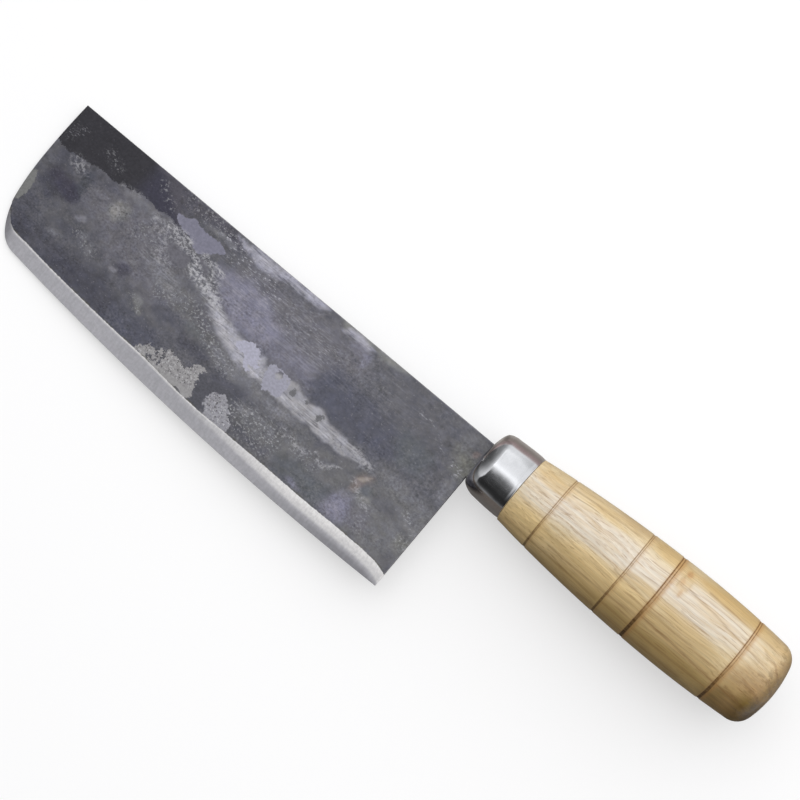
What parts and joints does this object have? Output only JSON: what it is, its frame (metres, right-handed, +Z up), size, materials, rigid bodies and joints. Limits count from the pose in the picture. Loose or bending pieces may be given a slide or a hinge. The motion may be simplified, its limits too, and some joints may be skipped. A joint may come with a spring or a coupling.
{
  "type": "chinese cleaver",
  "caption": "Wide-bladed chinese cleaver with a dark forged blade, a bright ground edge, a polished steel ferrule and a turned pale wood handle, lying on its side",
  "frame": {"origin": "on the table, under the middle of the knife's box as it lies on its side", "axes": "+X from the tip to the butt, +Y from the cutting edge to the spine, +Z up from the table, with the handle's axis tilted as it really lies"},
  "size_m": [0.3237, 0.0782, 0.0371],
  "materials": {
    "forged_steel": "dark forge scale, hand ground bright along the edge",
    "polished_steel": "mirror polished",
    "pale_wood": "clear lacquer over open straight grain",
    "set_resin": "set resin, hidden"
  },
  "bodies": {
    "root": {"blade": "forged_steel", "ferrule": "polished_steel", "handle": "pale_wood", "tang_resin": "set_resin"}
  },
  "joints": []
}
